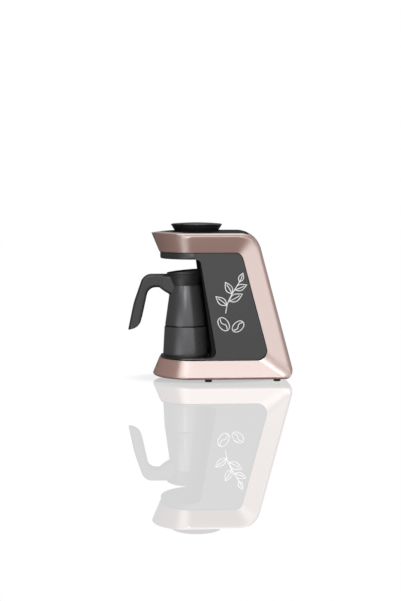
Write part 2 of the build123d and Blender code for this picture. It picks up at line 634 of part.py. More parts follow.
def spout_loop(radius, reach, z):
    """Circle drawn out to a blunt beak towards +Y."""
    beak = 5.0
    tip_y = radius + reach
    near = (radius * cos(radians(50)), radius * sin(radians(50)))
    far = (-near[0], near[1])
    round_part = ThreePointArc(near, (0, -radius), far)
    left = Line(far, (-beak / 2, tip_y - 0.6))
    nose = ThreePointArc((-beak / 2, tip_y - 0.6), (0, tip_y), (beak / 2, tip_y - 0.6))
    right = Line((beak / 2, tip_y - 0.6), near)
    return Pos(0, 0, z) * make_face([round_part, left, nose, right])


def jug_collar():
    """Ring on the pot's neck that rises to a pouring spout opposite the handle."""
    high = SPOUT_Z + 4
    grow = (COLLAR_TOP_R - BODY_TOP_R) / (RIM_Z - COLLAR_Z)
    high_r = BODY_TOP_R + grow * (high - COLLAR_Z)
    flare_z = COLLAR_Z + 10
    flare_r = BODY_TOP_R + grow * (flare_z - COLLAR_Z)
    wall = 1.6
    outside = loft([spout_loop(flare_r, 0.4, flare_z), spout_loop(high_r, SPOUT_REACH, high)])
    outside += turned([(0, COLLAR_Z), (BODY_TOP_R + 0.2, COLLAR_Z), (flare_r, flare_z), (0, flare_z)])
    inside = loft([spout_loop(flare_r - wall, 0.4, flare_z), spout_loop(high_r - wall, SPOUT_REACH, high)])
    inside += z_disc(BODY_TOP_R - 1.6, COLLAR_Z - 1, flare_z)
    start = (-60, RIM_Z - RIM_SLOPE * (60 - COLLAR_TOP_R))
    bend = (14, RIM_Z + RIM_SLOPE * (14 + COLLAR_TOP_R))
    tip = (COLLAR_TOP_R + SPOUT_REACH, SPOUT_Z)
    climb = TangentArc(bend, tip, tangent=(1, RIM_SLOPE))
    above = Polyline(tip, (60, SPOUT_Z + 6), (60, 200), (-60, 200), start)
    lip = make_face([Line(start, bend), climb, above])
    collar = outside - inside - side_prism(lip, -60, 60)
    return jug_at(collar)


def grip_face():
    """Hooked grip from the side, from inside the jug's wall down past its slanted end."""
    return rounded(
        [(-55.0, 163.6), (-103.5, 163.6), (-119.3, 118.0), (-130.92, 62.0), (-111.6, 62.0),
         (-106.2, 96.0), (-96.0, 142.6), (-76.0, 142.6), (-55.0, 123.3)],
        [0, 18.0, 120.0, 0, 0, 150.0, 14.0, 14.0, 0])


def tip_cutter():
    """Space under the grip's slanted end, with a round heel on its inner side."""
    flat = Line((-140, 72.6), (HEEL_Y, 78.0))
    heel = TangentArc((HEEL_Y, 78.0), (-107.0, 96.0), tangent=flat % 1)
    rest = Polyline((-107.0, 96.0), (-90, 96.0), (-90, 40), (-140, 40), (-140, 72.6))
    return side_prism(make_face([flat, heel, rest]), -20, 20)


def jug_handle():
    """One-piece grip with rounded edges; its root widens into a saddle on the collar."""
    grip = side_prism(grip_face(), -HANDLE_HALF, HANDLE_HALF)
    long_edges = grip.edges().filter_by(lambda edge: abs(abs(edge.center().X) - HANDLE_HALF) < 0.01)
    long_edges = long_edges.filter_by(lambda edge: edge.center().Y < -57 and edge.center().Z > 63)
    grip = fillet(long_edges, HANDLE_ROUND) - tip_cutter()
    end = grip.faces().filter_by(lambda face: face.center().Z < 95 and face.normal_at().Z < -0.3)
    end_edges = [edge for face in end for edge in face.edges() if abs(edge.center().Y - HEEL_Y) > 1]
    grip = fillet(end_edges, TIP_ROUND)
    keep_out = turned([(0, 100), (wall_r(100) + 0.2, 100), (BODY_TOP_R + 0.2, COLLAR_Z),
                       (COLLAR_TOP_R + 0.2, RIM_Z), (0, RIM_Z)])
    saddle = loft([
        Plane.XZ.offset(52.0) * Pos(0, 145.5) * RectangleRounded(30, 33, 6),
        Plane.XZ.offset(65.0) * Pos(0, 147.5) * RectangleRounded(26, 29, 6),
        Plane.XZ.offset(79.0) * Pos(0, 152.3) * RectangleRounded(17, 19.5, 5)])
    return grip + saddle - jug_at(keep_out)


def jug_base():
    """Foot ring, socket, heater, its clamp and thermostat under the pot's floor."""
    ring = turned([(POST_R + 5, RING_TOP_Z - 0.8), (FOOT_RING_R - 4, RING_TOP_Z - 0.8),
                   (FOOT_RING_R - 4, SEAT_Z), (FOOT_RING_R - 0.6, SEAT_Z), (FOOT_RING_R, SEAT_Z + 0.8),
                   (FOOT_RING_R, RING_TOP_Z), (SLEEVE_TOP_R - 2.2, RING_TOP_Z),
                   (SLEEVE_TOP_R - 2.2, RING_TOP_Z + 3), (SLEEVE_TOP_R - 4, RING_TOP_Z + 3),
                   (SLEEVE_TOP_R - 4, RING_TOP_Z + 1.4), (POST_R + 5, RING_TOP_Z + 1.4)])
    for turn in range(JUG_SCREW_COUNT):
        ring -= Rot(0, 0, 60 + turn * 120) * z_disc(1.7, 30, 50, JUG_SCREW_CIRCLE_R, 0)
    keep("jug_foot_ring", jug_at(ring))

    socket_top = POST_TOP_Z + 3
    socket = z_disc(POST_R + 4.8, RING_TOP_Z - 0.8, socket_top)
    socket += z_ring(POST_R + 9, POST_R + 3, RING_TOP_Z + 1.4, RING_TOP_Z + 3.4)
    socket -= z_disc(POST_R + 1.2, 30, POST_TOP_Z + 1)
    socket -= z_disc(1.9, 30, socket_top + 1)
    keep("jug_socket", jug_at(socket))

    element = z_ring(24.0, 17.0, POT_FLOOR_Z - JUG_WALL - 5.0, POT_FLOOR_Z - JUG_WALL - 1.6)
    element += block(17, 24, -2, 2, socket_top + 1.0, POT_FLOOR_Z - JUG_WALL - 4.8)
    element += block(-24, -17, -2, 2, socket_top + 1.0, POT_FLOOR_Z - JUG_WALL - 4.8)
    keep("heating_element", jug_at(element))
    plate = z_disc(26.0, POT_FLOOR_Z - JUG_WALL - 1.6, POT_FLOOR_Z - JUG_WALL)
    keep("heat_spreader", jug_at(plate))
    sensor = z_disc(6.5, POT_FLOOR_Z - JUG_WALL - 6.0, POT_FLOOR_Z - JUG_WALL - 1.6)
    sensor += block(-9, 9, -1.5, 1.5, POT_FLOOR_Z - JUG_WALL - 3.2, POT_FLOOR_Z - JUG_WALL - 2.4)
    keep("thermostat", jug_at(sensor))

    shield_z = RING_TOP_Z + 8.2
    carrier = z_disc(SLEEVE_TOP_R - SLEEVE_T - 0.2, shield_z, shield_z + 1.2)
    carrier -= z_disc(POST_R + 5.2, shield_z - 1, shield_z + 2)
    carrier -= block(-25, 25, -3, 3, shield_z - 1, shield_z + 2)
    screws = []
    for turn in range(JUG_SCREW_COUNT):
        spin = Rot(0, 0, 60 + turn * 120)
        carrier += spin * z_disc(3.4, RING_TOP_Z + 1.4, shield_z + 0.5, JUG_SCREW_CIRCLE_R, 0)
        carrier -= spin * z_disc(SCREW_HOLE_R, 30, shield_z + 5, JUG_SCREW_CIRCLE_R, 0)
        screws.append(jug_at(spin * screw_up(JUG_SCREW_CIRCLE_R, 0, RING_TOP_Z - 0.8, 7.0)))
    keep("heater_carrier", jug_at(carrier))
    keep("jug_screws", Compound(screws))


def jug():
    jug_body()
    keep("jug_collar", jug_collar())
    handle = jug_handle()
    sleeve = turned([(SLEEVE_TOP_R - SLEEVE_T, RING_TOP_Z), (SLEEVE_LOW_R, RING_TOP_Z),
                     (SLEEVE_LOW_R, RING_TOP_Z + 4), (SLEEVE_TOP_R, SLEEVE_TOP_Z - 0.8),
                     (SLEEVE_TOP_R - 0.8, SLEEVE_TOP_Z), (SLEEVE_TOP_R - SLEEVE_T, SLEEVE_TOP_Z)])
    keep("jug_sleeve", jug_at(sleeve))
    insert_face = rounded(
        [(-105.6, 95.0), (-108.0, 95.4), (-101.2, 129.6), (-98.7, 129.6)], [0, 0, 0, 0])
    insert = side_prism(insert_face, -5.0, 5.0) & handle
    keep("handle_insert", insert)
    keep("jug_handle", handle - side_prism(insert_face, -5.1, 5.1))
    jug_base()


# ---------------------------------------------------------------- inside the housing

BOARD_T = 1.6
CONTROL_Z = 209.0
POWER_Y = 21.0
BOARD_POSTS = [(44.0, -40.0), (46.0, -2.0)]
LUG_X = 46.0
LUG_ZS = (60.0, 165.0)
BOARD_LOW_Z = 50.0
BOARD_HIGH_Z = 175.0
SINK_FINS = 6
RIBBON_HALF = 7.0
RIBBON_T = 0.9


def board_screw(plane):
    """Screw with its head on a board; plane's normal points out of the board."""
    return plane * (z_disc(2.6, 0, 1.4) + z_disc(SCREW_R, -7, 0) - block(-2, 2, -0.3, 0.3, 0.7, 2))


def control_board():
    """Board under the knob with its encoder, chips and buzzer, on the canopy's posts."""
    low = CONTROL_Z + BOARD_T
    board = block(-40, 40, KNOB_Y - 24, KNOB_Y + 30, CONTROL_Z, low)
    for x, y in BOARD_POSTS:
        board += both_sides(block(34, x + 5, y - 4, y + 4, CONTROL_Z, low))
    screws = []
    for x, y in BOARD_POSTS:
        board -= both_sides(z_disc(SCREW_PASS_R, CONTROL_Z - 1, CONTROL_Z + 3, x, y))
        screws += [board_screw(Plane((side * x, y, low))) for side in (1, -1)]
    keep("control_board", board)

    here = Pos(0, KNOB_Y, 0)
    body = block(-7, 7, -7, 7, low, low + 6.5) + z_disc(4.2, low, 221.0)
    bore_z = low + 1.0
    body -= z_disc(SHAFT_R + 0.05, bore_z, 222)
    keep("encoder_body", here * body)
    plunger_z = bore_z + KNOB_TRAVEL + 0.5
    keep("encoder_plunger", here * z_disc(SHAFT_R - 0.1, plunger_z, SHAFT_LOW_Z))
    dome_outside = [(0, bore_z), (2.8, bore_z), (1.2, plunger_z), (0, plunger_z)]
    dome_inside = [(0, bore_z), (2.5, bore_z), (1.0, plunger_z - 0.25), (0, plunger_z - 0.25)]
    keep("switch_dome", here * (turned(dome_outside) - turned(dome_inside)))

    chips = [block(-30, -22, -6, 2, low, low + 1.6), block(20, 32, 4, 14, low, low + 2.2),
             block(-32, -24, 14, 22, low, low + 4.5)]
    keep("control_chips", here * Compound(chips))
    buzzer = z_disc(6.0, low, low + 6.0, 26, -12) - z_disc(1.0, low + 3, low + 8, 26, -12)
    keep("buzzer", here * buzzer)
    return screws


def power_board():
    """Upright board on the niche wall's lugs, with the parts that switch the heater."""
    face = POWER_Y + BOARD_T
    board = block(-50, 50, POWER_Y, face, BOARD_LOW_Z, BOARD_HIGH_Z)
    screws = []
    for z in LUG_ZS:
        for side in (1, -1):
            board -= Pos(side * LUG_X, POWER_Y, z) * Rot(90, 0, 0) * Cylinder(SCREW_PASS_R, 10)
            screws.append(board_screw(Plane((side * LUG_X, face, z), z_dir=(0, 1, 0))))
    keep("power_board", board)
    core = block(-34, -8, face, face + 22, 62, 88)
    keep("transformer", core + block(-31, -11, face, face + 26, 66, 84))
    keep("relay", block(6, 22, face, face + 16, 62, 91))
    keep("line_capacitor", fillet(block(26, 37, face, face + 14, 64, 84).edges().filter_by(Axis.Y), 1.5))
    can = extrude(Plane((-20, face, 108), z_dir=(0, 1, 0)) * Circle(8), amount=18)
    keep("smoothing_capacitor", fillet(can.edges().sort_by(Axis.Y)[-1], 1.0))
    sink = block(8, 36, face, face + 3, 102, 132)
    for index in range(SINK_FINS):
        x = 8 + index * (28 - 2) / (SINK_FINS - 1)
        sink += block(x, x + 2, face + 3, face + 12, 102, 132)
    keep("heat_sink", sink)
    return screws


def ribbon():
    """Flat cable from the power board's plug up and forward to the control board's plug."""
    low = CONTROL_Z + BOARD_T
    face = POWER_Y + BOARD_T
    board_plug = block(-9, 9, face, face + 6, 158, 166)
    control_plug = block(-9, 9, KNOB_Y + 22, KNOB_Y + 28, low, low + 5)
    back = face + 4.5
    top = low + 3.4
    outside = rounded([(back, 166), (back, top), (KNOB_Y + 28, top), (KNOB_Y + 28, top - RIBBON_T),
                       (back - RIBBON_T, top - RIBBON_T), (back - RIBBON_T, 166)],
                      [0, 9.0, 0, 0, 9.0 - RIBBON_T, 0])
    keep("board_ribbon", side_prism(outside, -RIBBON_HALF, RIBBON_HALF))
    keep("ribbon_plugs", Compound([board_plug, control_plug]))


housing()
side_panels()
niche_wall()
canopy()
deck()
connector()
base()
knob()
jug()
keep("board_screws", Compound(control_board() + power_board()))
ribbon()
os.makedirs("parts", exist_ok=True)
for name, shape in PARTS.items():
    print(name, shape.is_valid, round(shape.volume), len(shape.solids()))
    export_step(shape, f"parts/{name}.step")
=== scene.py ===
# %% [markdown]
# # An electric coffee pot on its stand
# The maker is a rose-coated plastic stand shaped like a C, a black core between its chamfered
# sides, and a coated pot that lifts off a powered seat. The CAD frame already holds every piece
# at its place and size. This lesson gives each piece its finish, and models again, with
# operators, the turned, moulded and printed pieces that need smoother surfaces than the CAD mesh.

# %% Load the frame
import json
from math import atan2, cos, radians, sin, tau

import bmesh
import bpy
from mathutils import Matrix, Vector


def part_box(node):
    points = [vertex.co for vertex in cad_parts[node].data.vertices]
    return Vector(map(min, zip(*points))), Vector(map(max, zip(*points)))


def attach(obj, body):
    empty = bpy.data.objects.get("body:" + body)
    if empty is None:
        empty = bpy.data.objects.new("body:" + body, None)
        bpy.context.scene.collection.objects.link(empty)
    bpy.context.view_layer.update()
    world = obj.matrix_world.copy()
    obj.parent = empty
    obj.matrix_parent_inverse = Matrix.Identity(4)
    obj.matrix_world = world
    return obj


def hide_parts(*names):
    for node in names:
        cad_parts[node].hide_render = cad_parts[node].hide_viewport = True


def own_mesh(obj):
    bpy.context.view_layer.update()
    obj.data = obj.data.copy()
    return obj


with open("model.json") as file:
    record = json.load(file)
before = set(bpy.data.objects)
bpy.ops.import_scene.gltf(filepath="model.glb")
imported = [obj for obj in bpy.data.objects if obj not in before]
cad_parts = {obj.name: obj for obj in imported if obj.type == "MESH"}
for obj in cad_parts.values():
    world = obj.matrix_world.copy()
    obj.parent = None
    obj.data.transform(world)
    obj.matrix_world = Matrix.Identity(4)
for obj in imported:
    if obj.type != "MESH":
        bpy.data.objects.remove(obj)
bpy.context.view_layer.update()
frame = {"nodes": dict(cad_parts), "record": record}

MM = 0.001

# %% [markdown]
# ## Shader sums as Python sums
# A finish often needs a little arithmetic, such as a mask times 0.4 plus 0.1. Wiring Math nodes
# by hand hides the formula. A small class that wraps a socket and overloads +, -, * and > lets
# the formula be written as it is read, and each operator adds its own node.

# %% A socket that can be used in sums
class Signal:
    """A shader socket. `mask * 0.4 + 0.1` adds the two Math nodes that it needs."""

    def __init__(self, network, socket):
        self.network = network
        self.socket = socket

    def math(self, operation, first, second):
        return self.network.node("ShaderNodeMath", {"operation": operation}, [first, second])

    def __add__(self, other):
        return self.math("ADD", self, other)

    def __sub__(self, other):
        return self.math("SUBTRACT", self, other)

    def __rsub__(self, other):
        return self.math("SUBTRACT", other, self)

    def __mul__(self, other):
        return self.math("MULTIPLY", self, other)

    def __gt__(self, other):
        return self.math("GREATER_THAN", self, other)

    __radd__ = __add__
    __rmul__ = __mul__


# %% A node tree that adds its nodes by one method
class Network:
    """The node tree of a material or of the surroundings."""

    def __init__(self, owner):
        owner.use_nodes = True
        self.tree = owner.node_tree

    def feed(self, socket, value):
        """Link a signal to a socket, or set the socket's own value."""
        if isinstance(value, Signal):
            self.tree.links.new(value.socket, socket)
        else:
            socket.default_value = value

    def node(self, kind, settings=None, inputs=(), output=0):
        """Add any node: its settings first, then the values or links of its inputs."""
        made = self.tree.nodes.new(kind)
        for name, value in (settings or {}).items():
            setattr(made, name, value)
        pairs = inputs.items() if isinstance(inputs, dict) else enumerate(inputs)
        for key, value in pairs:
            self.feed(made.inputs[key], value)
        return Signal(self, made.outputs[output])

    def blend(self, factor, first, second):
        """One colour turning into another as the factor goes from 0 to 1."""
        ends = [end if isinstance(end, Signal) else (*end, 1) for end in (first, second)]
        return self.node("ShaderNodeMix", {"data_type": "RGBA"},
                         {0: factor, 6: ends[0], 7: ends[1]}, output=2)


# %% A value that varies a little
def around(middle, spread, signal):
    """A value that goes through `spread` about a middle as the signal goes from 0 to 1."""
    return signal * spread + (middle - spread / 2)


# %% A material of a piece
class Finish(Network):
    """A material with a Principled shader. `values` are set on the shader's own sockets."""

    def __init__(self, name, values):
        self.material = bpy.data.materials.new(name)
        super().__init__(self.material)
        self.shader = self.tree.nodes["Principled BSDF"]
        for socket, value in values.items():
            self.feed(self.shader.inputs[socket], value)

    def surface(self, color, roughness):
        """Feed the two sockets that vary over every finish."""
        self.color = color
        self.feed(self.shader.inputs["Base Color"], color)
        self.feed(self.shader.inputs["Roughness"], roughness)

    def place(self):
        """Object coordinates, in metres, so a pattern has its real size."""
        return self.node("ShaderNodeTexCoord", output="Object")

    def noise(self, size, detail=2.0):
        """Soft noise from 0 to 1, with features about `size` millimetres across."""
        inputs = {"Vector": self.place(), "Scale": 1 / (size * MM), "Detail": detail}
        return self.node("ShaderNodeTexNoise", {}, inputs)

    def relief(self, height, depth, edge=0.0):
        """Bump `depth` millimetres deep, over edges that look rounded by `edge`."""
        inputs = {"Height": height, "Distance": depth * MM, "Strength": 1.0}
        if edge:
            inputs["Normal"] = self.node("ShaderNodeBevel", {"samples": 4}, {"Radius": edge * MM})
        self.feed(self.shader.inputs["Normal"], self.node("ShaderNodeBump", {}, inputs))


# %% [markdown]
# ## The rose coat
# The stand's shell is moulded plastic under a metallic lacquer: fine flakes in a rose-brown
# ground, and a smooth clear layer whose broad sheen turns nearly white where the studio light
# falls on it. A plain metal would keep its full colour in the highlights, so the ground is only
# slightly metallic and the pale sheen comes from a coat. The flakes are a fine cell pattern, half
# a millimetre across, and a slight unevenness of the coat is added as bump.

# %% Rose coat
SHEEN = {"Coat Weight": 1.0, "Coat IOR": 2.3}
ROSE_PALE = (0.48, 0.300, 0.252)
ROSE_DEEP = (0.416, 0.248, 0.208)
FLAKE = 0.5 * MM
rose = Finish("rose_coat", {"Metallic": 0.04, "Coat Roughness": 0.28, **SHEEN})
flake = rose.node("ShaderNodeTexVoronoi", {}, {"Vector": rose.place(), "Scale": 1 / FLAKE})
mottle = flake * 0.5 + rose.noise(30) * 0.3
rose.surface(rose.blend(mottle, ROSE_PALE, ROSE_DEEP), around(0.36, 0.06, flake))
rose.relief(rose.noise(2.2, detail=1.0), 0.01, edge=0.6)
print("the rose coat has", len(rose.tree.nodes), "nodes")

# %% [markdown]
# ## The blacks
# Several black surfaces sit side by side and are told apart only by their sheen: satin panels, a
# matte niche, gloss on the deck and the knob, and fine-grained grips. One function makes them all
# from a brightness, a roughness and the size and depth of the mould's grain. A slow cloud of
# noise keeps a large black face from looking like flat paint.

# %% Black plastics
COOL_DARK = (0.94, 0.95, 1.0)
COOL_LIGHT = (1.08, 1.08, 1.12)


def black_finish(name, level, roughness, grain=0.6, depth=0.02, edge=0.4, coat=0.0, ior=1.5,
                 metallic=0.0):
    """A black of a brightness and a roughness. Grain, depth and edge are in millimetres."""
    made = Finish(name, {"IOR": ior, "Metallic": metallic, "Coat Weight": coat,
                         "Coat Roughness": 0.05})
    cloud = made.noise(40)
    dark, light = ([level * tint for tint in tints] for tints in (COOL_DARK, COOL_LIGHT))
    made.surface(made.blend(cloud, dark, light), around(roughness, 0.05, cloud))
    made.relief(made.noise(grain, detail=3.0), depth, edge=edge)
    return made


satin_panel = black_finish("satin_panel", 0.032, 0.40)
matte_niche = black_finish("matte_niche", 0.006, 0.5, ior=1.2)
gloss_black = black_finish("gloss_black", 0.012, 0.14, grain=4, depth=0.006, coat=0.6)
grip_black = black_finish("grip_black", 0.019, 0.50, grain=0.5, depth=0.04, edge=0.0)
collar_black = black_finish("collar_black", 0.021, 0.44, grain=0.4, depth=0.03, edge=0.0)
crown_black = black_finish("crown_black", 0.008, 0.2, grain=4, depth=0.006, ior=1.2)
base_black = black_finish("base_black", 0.03, 0.55, grain=0.8, depth=0.05)
chip_black = black_finish("chip_black", 0.02, 0.5)
print("blacks", sum("black" in material.name for material in bpy.data.materials))

# %% [markdown]
# ## The pot's coat
# The pot is sprayed with a powder that bakes to a fine orange-peel skin, with a hint of metal in
# it. Between the pot's wall and the sleeve runs a gap that no light reaches. A band of painted
# shade, near-black, at that height says so more surely than the small gap can, and as a
# difference of two steps it keeps its edges crisp.

# %% Baked coat, with painted shade in the gap
GAP_LOW_Z = 81.5
GAP_HIGH_Z = 83.6
GAP_SHADE_BLACK = (0.004, 0.004, 0.004)
pot_coat = black_finish("pot_coat", 0.080, 0.28, grain=0.35, depth=0.03, edge=0.0, metallic=0.25)
height = pot_coat.node("ShaderNodeSeparateXYZ", {}, [pot_coat.place()], output=2)
# painted shade: a near-black band at the height of the gap between the pot and its sleeve
painted_gap_shade = (height > GAP_LOW_Z * MM) - (height > GAP_HIGH_Z * MM)
pot_coat.feed(pot_coat.shader.inputs["Base Color"],
              pot_coat.blend(painted_gap_shade, pot_coat.color, GAP_SHADE_BLACK))
print("the dark band is", round(GAP_HIGH_Z - GAP_LOW_Z, 2), "mm high")

# %% [markdown]
# ## Metals, rubber and boards
# Screws and pins are small, so a slightly mottled metal is enough, and one function makes all of
# them. The pieces inside the housing are seldom seen, so a second function gives each of them its
# own colour with a little mottling and grain.

# %% Small metals
def metal_finish(name, color, roughness):
    """A mottled metal, duller where the noise is low."""
    made = Finish(name, {"Metallic": 1.0})
    speck = made.noise(0.8, detail=4.0)
    dull = [part * 0.8 for part in color]
    made.surface(made.blend(speck, dull, color), around(roughness, 0.16, speck))
    made.relief(speck, 0.01)
    return made


zinc = metal_finish("zinc", (0.62, 0.61, 0.59), 0.34)
brass = metal_finish("brass_pins", (0.78, 0.58, 0.28), 0.28)
alloy = metal_finish("bare_alloy", (0.72, 0.72, 0.74), 0.38)
heater_steel = metal_finish("heater_steel", (0.42, 0.40, 0.38), 0.45)
print("metals", [finish.material.name for finish in (zinc, brass, alloy, heater_steel)])

# %% Rubber, solder mask, mica and other plain finishes
def plain_finish(name, color, roughness, spread=0.15, grain=2, depth=0.02, values=None):
    """A colour mottled by `spread`, with a grain `grain` millimetres across."""
    made = Finish(name, values or {})
    speck = made.noise(grain, detail=3.0)
    light = [min(1.0, part * (1 + spread)) for part in color]
    dark = [part * (1 - spread) for part in color]
    made.surface(made.blend(speck, dark, light), around(roughness, 0.1, speck))
    made.relief(speck, depth)
    return made


rubber = plain_finish("foot_rubber", (0.025, 0.024, 0.024), 0.75, depth=0.06)
solder_mask = plain_finish("solder_mask", (0.02, 0.16, 0.06), 0.35, spread=0.35, grain=4)
mica = plain_finish("mica", (0.42, 0.34, 0.22), 0.5, spread=0.3)
film_yellow = plain_finish("film_yellow", (0.72, 0.52, 0.08), 0.35)
ribbon_grey = plain_finish("ribbon_grey", (0.42, 0.43, 0.45), 0.45)
plug_white = plain_finish("plug_white", (0.78, 0.76, 0.70), 0.4)
lens_dark = Finish("lens_dark", {"Base Color": (0.02, 0.008, 0.01, 1), "Roughness": 0.05,
                                 "Coat Weight": 1.0})
print("finishes so far", len(bpy.data.materials))

# %% [markdown]
# ## Dressing the CAD pieces
# The CAD shapes are right, but their meshes are loose triangles. A copy whose doubles are merged
# can be shaded smooth, with the real edges kept sharp by their angle. Each corner's shading is
# weighted by the area of its faces, so a large flat face stays flat and only its narrow rounded
# edges bend the light. The copy stands for the node and rides on its body. Pieces inside the
# housing only need their finish.

# %% Make an object from a finished bmesh
def add_object(name, data):
    """Put a mesh, curve, lamp or camera into the scene."""
    made = bpy.data.objects.new(name, data)
    bpy.context.collection.objects.link(made)
    return made


def piece(name, bm, finish, body, sharp=32.0):
    """Put a bmesh into an object that rides on a body, smooth except at its sharp edges."""
    mesh = bpy.data.meshes.new(name)
    bm.to_mesh(mesh)
    bm.free()
    mesh.materials.append(finish.material)
    mesh.shade_smooth()
    mesh.set_sharp_from_angle(angle=radians(sharp))
    made = add_object(name, mesh)
    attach(made, body)
    return made


# %% A smooth copy of a CAD piece
MERGE = 0.002 * MM
LARGEST_FACE_DECIDES = 100
BODY_OF = {node: body
           for body, nodes in frame["record"]["behaviour"]["bodies"].items() for node in nodes}


def smooth_copy(node, finish, sharp=24.0):
    """A merged copy of a CAD piece, shaded smooth, that stands for it."""
    bm = bmesh.new()
    bm.from_mesh(frame["nodes"][node].data)
    bmesh.ops.remove_doubles(bm, verts=bm.verts, dist=MERGE)
    made = piece(node + "_skin", bm, finish, BODY_OF[node], sharp)
    flatten = made.modifiers.new("flatten", "WEIGHTED_NORMAL")
    flatten.keep_sharp = True
    flatten.weight = LARGEST_FACE_DECIDES
    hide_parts(node)
    return made


# %% Dress the stand
NEARLY_FLAT = 10
for node in ("main_shell", "rear_cover"):
    smooth_copy(node, rose)
for node in ("side_panel_left", "side_panel_right"):
    smooth_copy(node, satin_panel, sharp=NEARLY_FLAT)
smooth_copy("canopy_cover", satin_panel)
smooth_copy("deck_cover", gloss_black)
smooth_copy("top_plate", crown_black, sharp=NEARLY_FLAT)
smooth_copy("niche_wall", matte_niche)
smooth_copy("seat_connector", base_black)
smooth_copy("base_plate", base_black)
smooth_copy("cord_bush", rubber)
smooth_copy("sensor_lens", lens_dark)
smooth_copy("rubber_feet", rubber)

# %% [markdown]
# ## The snap dome
# The switch under the knob is a thin steel dome that snaps down when its plunger presses it. It
# is springy. Here the dome gets a mesh of its own, and goes without the modifier that the other
# copies have.

# %% Snap dome, with a mesh of its own
dome = smooth_copy("switch_dome", zinc)
dome.modifiers.clear()
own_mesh(dome)

# %% Finishes of the small and inner pieces
INNER = (
    (zinc, "base_screws", "foot_screws", "board_screws", "jug_screws", "knob_shaft"),
    (brass, "contact_pins"),
    (alloy, "heat_sink", "heat_spreader", "smoothing_capacitor", "thermostat"),
    (heater_steel, "heating_element"),
    (mica, "heater_carrier"),
    (solder_mask, "control_board", "power_board", "sensor_board"),
    (film_yellow, "line_capacitor", "transformer"),
    (ribbon_grey, "board_ribbon"),
    (plug_white, "ribbon_plugs"),
    (chip_black, "encoder_body", "encoder_plunger", "buzzer", "control_chips", "relay",
     "jug_socket"),
)
for finish, *nodes in INNER:
    for node in nodes:
        slots = frame["nodes"][node].data.materials
        slots.clear()
        slots.append(finish.material)
print("pieces with a finish only", sum(len(row) - 1 for row in INNER))

# %% [markdown]
# ## Turned pieces
# The knob, the pot and its rings are all turned. Each one is drawn once as an outline of radius
# and height and spun about its axis. The sharp circles that are left get a small bevel, which
# catches a thin line of light as a real edge does.

# %% Spin an outline
TOUCHING = 0.005 * MM


def turned(outline, y=0.0, steps=128):
    """Spin (radius, height) points in millimetres about the upright axis at (0, y)."""
    bm = bmesh.new()
    verts = [bm.verts.new((radius * MM, 0, height * MM)) for radius, height in outline]
    edges = [bm.edges.new(pair) for pair in zip(verts, verts[1:])]
    if outline[0][0] > 0:
        edges.append(bm.edges.new((verts[-1], verts[0])))
    bmesh.ops.spin(bm, geom=verts + edges, cent=(0, 0, 0), axis=(0, 0, 1), angle=tau,
                   steps=steps, use_merge=True)
    bmesh.ops.remove_doubles(bm, verts=bm.verts, dist=TOUCHING)
    bmesh.ops.recalc_face_normals(bm, faces=bm.faces)
    bmesh.ops.translate(bm, verts=bm.verts, vec=(0, y * MM, 0))
    return bm


def soften(bm, width, angle=28.0):
    """Round by `width` millimetres every edge that turns by more than `angle` degrees."""
    limit = radians(angle)
    sharp = [edge for edge in bm.edges if edge.is_manifold and edge.calc_face_angle() > limit]
    bmesh.ops.bevel(bm, geom=sharp, offset=width * MM, offset_type="OFFSET", segments=3,
                    profile=0.5, affect="EDGES", clamp_overlap=True, material=-1)
    return bm


# %% Knob skirt: a cup with a hub, wider at the top
KNOB_Y = -20.7
KNOB_STEPS = 160
KNOB_R = 40.0
KNOB_FOOT_R = 33.7
KNOB_FOOT_Z = 230.8
KNOB_RIM_Z = 241.6
CAP_R = 38.0
RECESS_R = CAP_R + 0.15
RECESS_Z = KNOB_RIM_Z - 1.2
WEB_Z = KNOB_RIM_Z - 3.0
HUB_R = 6.0
HUB_FOOT_Z = KNOB_FOOT_Z + 0.4
BORE_R = 3.0
BORE_TOP_Z = KNOB_RIM_Z - 3.5
skirt_outline = [
    (0, RECESS_Z), (RECESS_R, RECESS_Z), (RECESS_R, KNOB_RIM_Z),
    (KNOB_R - 0.6, KNOB_RIM_Z), (KNOB_R, KNOB_RIM_Z - 0.7), (KNOB_FOOT_R, KNOB_FOOT_Z),
    (KNOB_FOOT_R - 2.2, KNOB_FOOT_Z), (KNOB_R - 3.8, WEB_Z), (HUB_R, WEB_Z),
    (HUB_R, HUB_FOOT_Z), (BORE_R, HUB_FOOT_Z), (BORE_R, BORE_TOP_Z), (0, BORE_TOP_Z)]
skirt_bm = soften(turned(skirt_outline, KNOB_Y, KNOB_STEPS), 0.25)
skirt = piece("knob_skirt_turned", skirt_bm, gloss_black, "knob")
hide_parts("knob_skirt")
print("knob skirt", len(skirt.data.polygons), "faces")

# %% [markdown]
# ## The knob's cap
# The cap is turned aluminium, anodised black. A lathe leaves rings round the piece's own axis,
# so a wave pattern is centred there by a Mapping node, and draws them in the bump, the colour and
# the roughness. The cap itself is a shallow dome, whose radius follows from its rise and width.

# %% Turned black cap
cap_black = Finish("cap_black", {"Metallic": 0.6, "IOR": 1.5})
from_axis = cap_black.node("ShaderNodeMapping", {}, {"Vector": cap_black.place(),
                                                     "Location": (0, -KNOB_Y * MM, 0)})
rings = cap_black.node("ShaderNodeTexWave", {"wave_type": "RINGS", "rings_direction": "Z"},
                       {"Vector": from_axis, "Scale": 260.0, "Distortion": 0.3, "Detail": 2.0})
ring_color = cap_black.blend(rings, (0.030, 0.030, 0.032), (0.045, 0.045, 0.048))
cap_black.surface(ring_color, around(0.26, 0.08, rings))
cap_black.relief(rings, 0.004)

